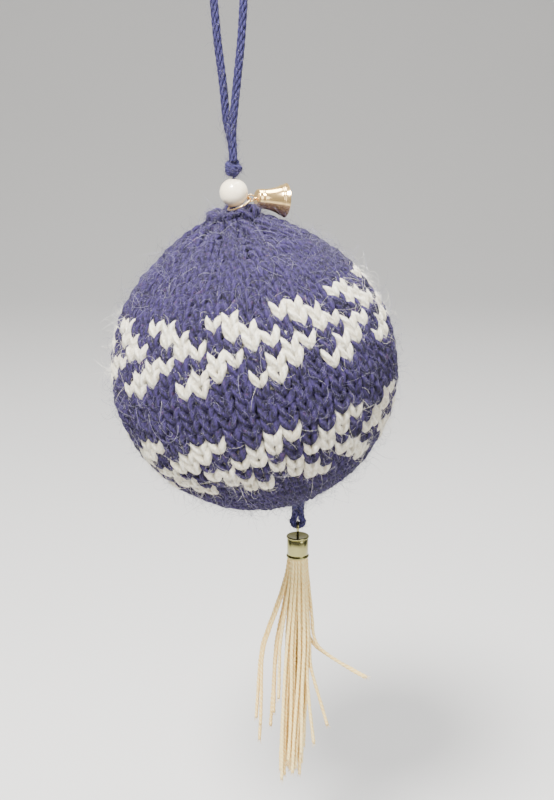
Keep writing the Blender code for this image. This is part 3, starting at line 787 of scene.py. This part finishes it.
def makeTwistedYarn(name, path, radius, plies, pitch, guide, body, node):
    # plies wound round one path, each a little thicker than would fit side by side
    plyRadius = radius * 0.62
    strands = np.stack([helixAbout(path, radius - plyRadius, pitch, tau * k / plies, guide)
                        for k in range(plies)])
    piece = addTubes(name, strands, plyRadius, 7, guide, body, cordYarn,
                     dict(tone=draw.uniform(0.3, 0.9, (plies, 1))))
    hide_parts(node)
    return strands


knotPlies = makeKnot()
threadLow, threadHigh = nodeBox("bead_thread")
threadMiddle = (threadLow + threadHigh) / 2
threadPath = threadMiddle + np.linspace(-0.5, 0.5, 60)[:, None] * (threadHigh[2] - threadLow[2]) * zWay
makeTwistedYarn("beadThread", threadPath, 0.00055, 2, 0.003, xWay, "hanger", "bead_thread")


def makeRingYarn(name, node, middle, axis, radius):
    side = unit(np.cross(axis, yWay))
    path = arcPoints(middle, side, np.cross(axis, side), radius, 0, 354, 60)
    makeTwistedYarn(name, path, gathers["yarn"], 3, tau * radius / 5, axis, "ball", node)


makeRingYarn("topGather", "top_gather_yarn", pivots["ball_nod"], neckWay, gathers["topRadius"])
footMiddle = ballMiddle + (ball["radius"] - gathers["sunk"]) * footWay
makeRingYarn("footGather", "bottom_gather_yarn", footMiddle, footWay, gathers["footRadius"])
stitchSpot = pivots["stem_swing"]
stitchPath = stitchSpot + np.linspace(-1, 1, 30)[:, None] * gathers["stitchHalf"] * yWay
makeTwistedYarn("anchorStitch", stitchPath, gathers["stitchRadius"], 2, 0.003, zWay, "ball",
                "tassel_anchor_stitch")


def makeStem():
    # a flattened ring of three-ply yarn from the anchor stitch to the tassel's eye
    foot = pivots["tassel_swing"] + stem["bend"] * zWay
    top = arcPoints(stitchSpot, xWay, zWay, stem["bend"], 0, 180, 16)
    low = arcPoints(foot, -xWay, -zWay, stem["bend"], 0, 180, 16)
    leftSide = np.linspace(top[-1], low[0], 22)[1:-1]
    rightSide = np.linspace(low[-1], top[0], 22)[1:-1]
    pinch = stem["pinch"] * np.sin(np.linspace(0, np.pi, 22)[1:-1])[:, None] ** 0.5
    path = np.concatenate([top, leftSide + pinch * xWay, low, rightSide - pinch * xWay])
    pitch = pathLengths(path)[-1] / stem["turns"]
    return makeTwistedYarn("tasselStem", path, stem["radius"], 3, pitch, yWay, "stem", "tassel_link_yarn")


stemPlies = makeStem()


neck = dict(loops=19, polar=8.6 * deg, lean=1.6 * deg, sink=0.0012, yarn=0.00082)


def makeNeckLoops():
    # the gathered edge: arcs of yarn that stand up and lean out round the top
    count = neck["loops"]
    spin = (np.arange(count) + draw.uniform(-0.25, 0.25, count)) * tau / count
    t = np.linspace(0, 1, 15)[None]
    span = draw.uniform(0.28, 0.50, (count, 1))
    tall, wide = draw.uniform(0.0006, 0.0015, (count, 1)), draw.uniform(0.0008, 0.0020, (count, 1))
    phi = spin[:, None] + (t - 0.5) * span * (1 + 0.5 * np.sin(np.pi * t))
    side = draw.choice([-1, 1], (count, 1))
    polar = np.full_like(phi, neck["polar"]) + neck["lean"] * np.cos(np.pi * t) * side
    normal = unit(clothAt(phi, polar) - ballMiddle - 0.040 * neckWay)
    hump = np.sin(np.pi * t)
    place = clothAt(phi, polar) - neck["sink"] * normal
    place = place + (tall * hump)[..., None] * neckWay + (wide * hump)[..., None] * normal
    radii = neck["yarn"] * draw.uniform(0.85, 1.1, (count, 1)) * np.ones_like(t)
    tone = draw.uniform(0.3, 0.8, (count, 1))
    addTubes("neckLoops", place, radii, 8, normal + 0.2 * neckWay, "ball", navyYarn,
             dict(tone=tone))
    return place, normal, radii


neckMade = makeNeckLoops()
print("knots and gathers ready")


# bead, bell and tassel cap
bead = dict(bore=0.00085, lip=0.00012)
bell = dict(side=20 * deg, ringRadius=0.0035, ringWire=0.0003, ringSlope=27 * deg, length=0.0088,
            mouth=0.0049, crown=0.0027, crownRound=0.0009, shoulder=0.0008, wall=0.0004, lip=0.0002,
            eyeRadius=0.00095, eyeWire=0.00022, hookRadius=0.0008, hookWire=0.00018, clapper=0.0070,
            clapperBall=0.0011, gap=0.0003, wireGap=0.00012)
cap = dict(radius=0.0032, wall=0.00028, rim=0.00034, dish=0.0002, hole=0.0006, pinWire=0.00036,
           pinRing=0.0017)


def makeBead():
    # a drilled ball whose bore has softened edges
    low, high = nodeBox("pearl_bead")
    middle, radius, bore, lip = (low + high) / 2, (high[0] - low[0]) / 2, bead["bore"], bead["lip"]
    start = np.arcsin(bore / radius)
    turn = np.linspace(start, np.pi - start, 60)
    outer = np.stack([radius * np.sin(turn), radius * np.cos(turn)], -1)
    top = radius * np.cos(start)
    inner = [(bore - lip * 0.3, -top + lip), (bore - lip * 0.3, top - lip)]
    piece = addTurned("pearlBead", np.concatenate([outer, inner]), middle, zWay, 96, "bead",
                      pearlLacquer)
    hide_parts("pearl_bead")


def bellProfile():
    # a flare with four raised lines, a round crown and a rounded lip
    share = np.linspace(0, 1, 60)
    flare = bell["crown"] + 0.0002 * share + (bell["mouth"] - bell["crown"] - 0.0002) * share**2.2
    lines = sum(0.00010 * np.exp(-((share - at) / 0.012) ** 2) for at in (0.10, 0.15, 0.80, 0.85))
    height = bell["shoulder"] + (bell["length"] - bell["shoulder"]) * share
    hole, wall = bell["eyeWire"] + bell["gap"], bell["wall"]
    turn = np.linspace(0, 90, 12) * deg
    crown = np.stack([bell["crown"] - bell["crownRound"] + bell["crownRound"] * np.sin(turn),
                      bell["shoulder"] - bell["shoulder"] * np.cos(turn)], -1)[:-1]
    outer = np.concatenate([[(hole, 0.0)], crown, np.stack([flare + lines, height], -1)])
    turn = np.linspace(20, 160, 7) * deg
    lip = np.stack([bell["mouth"] - bell["lip"] + bell["lip"] * np.cos(turn),
                    bell["length"] + bell["lip"] / 2 * np.sin(turn)], -1)
    inside = np.stack([flare - wall, height], -1)[::-1][:-1]
    return np.concatenate([outer, lip, inside, crown[::-1] * (0.85, 1) + (0, wall), [(hole, wall)]])


def makeBell():
    flatWay = np.array([np.cos(bell["side"]), np.sin(bell["side"]), 0])
    sideWay = np.cross(zWay, flatWay)
    ringWay = np.cos(bell["ringSlope"]) * flatWay + np.sin(bell["ringSlope"]) * zWay
    pivot, hookSpot = pivots["bell_lift"], pivots["clapper_swing"]
    ringMiddle = pivot - bell["ringRadius"] * ringWay
    ringPath = arcPoints(ringMiddle, ringWay, sideWay, bell["ringRadius"], 4, 356, 90)
    piece = addTubes("bellRing", ringPath, bell["ringWire"], 14, np.cross(ringWay, sideWay), "ring",
                     goldPlate)
    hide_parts("bell_ring")

    bellWay = unit(hookSpot - pivot)
    dropWay = unit(np.cross(sideWay, bellWay))
    dropWay = dropWay * (-1 if dropWay[2] > 0 else 1)
    eyeOffset = bell["eyeRadius"] - bell["eyeWire"] - bell["ringWire"] - bell["wireGap"]
    crownStart = eyeOffset + bell["eyeRadius"] + bell["eyeWire"] + bell["gap"]
    piece = addTurned("bellShell", bellProfile(), pivot + crownStart * bellWay, bellWay, 112, "bell",
                      goldPlate)
    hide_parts("bell_shell")

    # one wire: an eye on the ring outside, and a hook inside for the clapper
    eye = arcPoints(pivot + eyeOffset * bellWay, bellWay, -dropWay, bell["eyeRadius"], -320, 0, 40)
    hook = arcPoints(hookSpot, -bellWay, -dropWay, bell["hookRadius"], 0, 300, 36)
    radii = np.concatenate([np.full(len(eye), bell["eyeWire"]), np.full(len(hook), bell["hookWire"])])
    piece = addTubes("bellEye", np.concatenate([eye, hook]), radii, 10, sideWay, "bell",
                     goldPlate)
    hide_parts("bell_eye")

    # the clapper hangs against the lower side of the mouth
    mouthBore = bell["mouth"] - bell["wall"]
    lean = np.arctan2(mouthBore - bell["clapperBall"] - 2 * bell["gap"], bell["clapper"])
    clapperWay = np.cos(lean) * bellWay + np.sin(lean) * dropWay
    loopMiddle = hookSpot + bell["hookRadius"] * clapperWay
    loop = arcPoints(loopMiddle, clapperWay, sideWay, bell["hookRadius"], -320, 0, 36)
    turn = np.linspace(np.arcsin(bell["hookWire"] / bell["clapperBall"]), 176 * deg, 26)
    body = hookSpot + (bell["clapper"] - bell["clapperBall"] * np.cos(turn))[:, None] * clapperWay
    path = np.concatenate([loop, [hookSpot + 2.6 * bell["hookRadius"] * clapperWay], body])
    radii = np.concatenate([np.full(len(loop) + 1, bell["hookWire"]), bell["clapperBall"] * np.sin(turn)])
    guide = np.broadcast_to(np.cross(clapperWay, sideWay), path.shape)
    piece = addTubes("bellClapper", path, radii, 16, guide, "clapper", darkMetal)
    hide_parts("bell_clapper")


def makeCap():
    # a straight sleeve with a rolled rim and a groove at each end, and a dished top with the pin's hole
    x, top, foot, radius, wall = tasselX, capHigh[2], capLow[2], cap["radius"], cap["wall"]
    rimTurn = np.linspace(95, -95, 12) * deg
    rim, hole, dish = cap["rim"], cap["hole"], cap["dish"]

    def rolled(height):
        return np.stack([radius - 0.0001 + rim * np.cos(rimTurn), height + rim * np.sin(rimTurn)], -1)

    def groove(height, way):
        steps = ((0, 2.4), (0.00008, 2.8), (0, 3.2))
        return [(radius - cut, height + way * step * rim) for cut, step in steps]

    under = top - wall - dish
    profile = np.concatenate([[(hole, top - dish), (radius * 0.8, top - 0.00015)],
                              rolled(top - rim), groove(top, -1), groove(foot, 1)[::-1], rolled(foot + rim),
                              [(radius - wall, foot), (radius - wall, under), (hole, under)]])
    piece = addTurned("tasselCap", profile, np.array([x, 0, 0]), zWay, 96, "tassel",
                      nickelWithPaintedReflection)
    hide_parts("tassel_cap")
    pinLow, pinHigh = nodeBox("tassel_eye_pin")
    middle = np.array([x, 0, pinHigh[2] - cap["pinWire"] - cap["pinRing"]])
    ring = arcPoints(middle, -zWay, yWay, cap["pinRing"], -325, 0, 50)
    path = np.concatenate([ring, [(x, 0, pinLow[2])]])
    piece = addTubes("tasselEyePin", path, cap["pinWire"], 12, xWay, "tassel", nickelWithPaintedReflection)
    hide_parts("tassel_eye_pin")


makeBead()
makeBell()
makeCap()
for node, finish in (("anchor_knot", navyYarn), ("tassel_binding", silkThread)):      # the frame's own
    frame["nodes"][node].data.materials.clear()
    frame["nodes"][node].data.materials.append(finish)
print("bead, bell and cap ready")


# loose fibres
fuzz = dict(radius=0.000030, tipShare=0.35, fray=0.000055, fraysEach=14)


def makeFibres(name, roots, outwards, alongs, lengths, lift, rings, body, material):
    # each fibre rises from its root, curls to one side and tapers to its tip
    count = len(roots)
    s = np.linspace(0, 1, rings)
    spin = draw.uniform(0, tau, (count, 1))
    side = np.cross(outwards, alongs)
    heading = np.cos(spin) * alongs + np.sin(spin) * side
    bend = np.cross(outwards, heading)
    curl = draw.uniform(0.6, 4.2, (count, 1)) * draw.choice([-1, 1], (count, 1))
    rise = lift * draw.uniform(0.25, 1.0, (count, 1))
    length = lengths[:, None]
    run = np.sin(curl * s) / curl * length
    sway = (1 - np.cos(curl * s)) / curl * length
    up = rise * length * (s - 0.35 * s**2 * draw.uniform(0, 1.6, (count, 1)))
    path = (roots[:, None] + heading[:, None] * run[..., None] + bend[:, None] * sway[..., None]
            + outwards[:, None] * up[..., None])
    taper = fuzz["radius"] * (1 - (1 - fuzz["tipShare"]) * s)[None] * draw.uniform(0.7, 1.3, (count, 1))
    tone = draw.uniform(0, 1, (count, 1)) ** 1.3
    guides = np.broadcast_to((outwards + 0.31 * heading)[:, None], path.shape)
    return addTubes(name, path, taper, 3, guides, body, material, dict(tone=tone))


def yarnRoots(made, count):
    # random places on the yarn's outer side: the path's point, moved out by the yarn's radius
    paths, normals, radii = (np.concatenate([piece[k] for piece in made]) for k in (1, 2, 3))
    which = draw.integers(0, len(paths), count)
    ring = draw.integers(2, paths.shape[1] - 2, count)
    along = unit(paths[which, ring + 1] - paths[which, ring - 1])
    side = np.cross(normals[which, ring], along)
    angle = draw.uniform(-1.1, 1.1, (count, 1))
    out = unit(np.cos(angle) * normals[which, ring] + np.sin(angle) * side)
    return paths[which, ring] + out * radii[which, ring][:, None] * 0.9, out, along


for fibreName, made, count, lengthRange, lift, rings, finish in (
    ("navyNapOne", navyMade, 9800, (0.0012, 0.0034), 0.35, 4, navyFibre),
    ("navyNapTwo", navyMade, 9800, (0.0010, 0.0028), 0.30, 4, navyFibre),
    ("neckNap", [(None, *neckMade)], 500, (0.0010, 0.0040), 0.60, 5, navyFibre),
    ("navyStrays", navyMade, 4200, (0.0030, 0.0095), 0.55, 7, navyFibre),
    ("paleStrays", navyMade, 1100, (0.0040, 0.0110), 0.60, 8, paleFibre),
    ("creamNap", creamMade, 7000, (0.0012, 0.0036), 0.40, 4, creamFibre),
    ("creamStrays", creamMade, 1500, (0.0030, 0.0085), 0.50, 7, creamFibre),
):
    spots, outs, alongs = yarnRoots(made, count)
    makeFibres(fibreName, spots, outs, alongs, draw.uniform(*lengthRange, count), lift, rings, "ball",
               finish)


def cordFuzz(name, plies, radius, count, lengthRange, body):
    which = draw.integers(0, len(plies), count)
    at = draw.integers(1, plies.shape[1] - 1, count)
    along = unit(plies[which, at + 1] - plies[which, at - 1])
    out = unit(np.cross(along, draw.normal(0, 1, (count, 3))))
    return makeFibres(name, plies[which, at] + out * radius, out, along, draw.uniform(*lengthRange, count),
                      0.5, 6, body, navyFibre)


bendAtKnot(cordFuzz("loopFuzz", loopPath[None], loopCord["radius"], 700, (0.0010, 0.0040), None))
cordFuzz("knotFuzz", knotPlies, 0.0004, 480, (0.0010, 0.0040), "hanger")
cordFuzz("stemFuzz", stemPlies, 0.0005, 420, (0.0010, 0.0035), "stem")


def makeFrays():
    # each strand's cut end opens into a small brush
    each = fuzz["fraysEach"]
    tip = np.repeat(strandTips[:, -1], each, 0)
    along = np.repeat(unit(strandTips[:, -1] - strandTips[:, -3]), each, 0)
    around = unit(np.cross(along, draw.normal(0, 1, along.shape)))
    roots = tip - along * 0.0006 + around * 0.00022
    s = np.linspace(0, 1, 4)
    length = draw.uniform(0.0010, 0.0022, (len(roots), 1))
    path = (roots[:, None] + along[:, None] * (length * s)[..., None]
            + around[:, None] * (0.30 * length * s**2)[..., None])
    tone = draw.uniform(0, 1, (len(roots), 1))
    addTubes("strandFrays", path, fuzz["fray"] * (1 - 0.5 * s)[None], 3, around[:, None] + 0 * path,
             "tassel", silkFibre, dict(tone=tone))


makeFrays()
print("fibres ready")


# floor, light
stage = dict(below=0.045, wall=1.9, bend=0.9, glow=0.22, cardWidth=0.32, cardHeight=0.90, cardAt=0.50)


def makeStage():
    # a pale floor that curves up into a wall behind
    floorZ = cadBox[0][2] - stage["below"]
    turn = np.linspace(0, 90, 24) * deg
    y = np.concatenate([[-2.5], stage["wall"] - stage["bend"] * (1 - np.sin(turn)), [stage["wall"]]])
    z = np.concatenate([[floorZ], floorZ + stage["bend"] * (1 - np.cos(turn)), [3.0]])
    recipe = Recipe("pale studio paper", Roughness=0.9, Emission_Color=(0.86, 0.86, 0.85, 1),
                    Emission_Strength=stage["glow"])
    shade = recipe.noise(recipe.objectCoords(), 3.0, 2.0)
    recipe.feed("Base Color", recipe.mix(shade, (0.50, 0.495, 0.485, 1), (0.54, 0.535, 0.525, 1)))
    mesh = bpy.data.meshes.new("backdrop")
    n = len(y)
    points = [(x, float(b), float(c)) for x in (-3, 3) for b, c in zip(y, z)]
    mesh.from_pydata(points, [], [(k, k + 1, n + k + 1, n + k) for k in range(n - 1)])
    mesh.shade_smooth()
    backdrop = addObject("backdrop", mesh)
    mesh.materials.append(recipe.material)


def makeCard(name, x):
    # a dark card beside the object, hidden from the camera and casting no shadow, which gives the polished
    # pieces dark edges
    mesh = bpy.data.meshes.new(name)
    y, z = stage["cardWidth"] / 2, stage["cardHeight"] / 2
    corners = [(x, ballMiddle[1] + a * y, ballMiddle[2] + b * z) for a in (-1, 1) for b in (-1, 1)]
    mesh.from_pydata(corners, [], [(0, 2, 3, 1)])
    card = addObject(name, mesh)
    mesh.materials.append(Recipe(name, Roughness=0.9, Base_Color=(0.02, 0.025, 0.02, 1)).material)
    card.visible_camera = False
    card.visible_shadow = False


def addLight(name, offset, size, power, colour):
    data = bpy.data.lights.new(name, "AREA")
    data.shape, data.size, data.energy, data.color = "DISK", size, power, colour
    lamp = addObject(name, data)
    lamp.location = ballMiddle + np.array(offset)
    lamp.rotation_euler = Vector(-np.array(offset)).to_track_quat("-Z", "Y").to_euler()


makeStage()
makeCard("leftCard", -stage["cardAt"])
makeCard("rightCard", stage["cardAt"])
addLight("keyLight", (-0.20, -0.42, 0.70), 0.26, 34.0, (1.0, 0.98, 0.95))
addLight("fillLight", (0.60, -0.60, 0.30), 0.60, 4.5, (0.98, 0.97, 1.0))
addLight("topLight", (0.10, 0.15, 0.70), 0.45, 12.0, (1.0, 1.0, 1.0))
world = bpy.data.worlds.new("studio")
world.use_nodes = True
background = world.node_tree.nodes["Background"].inputs
background[0].default_value, background[1].default_value = (0.88, 0.85, 0.83, 1), 0.26
bpy.context.scene.world = world
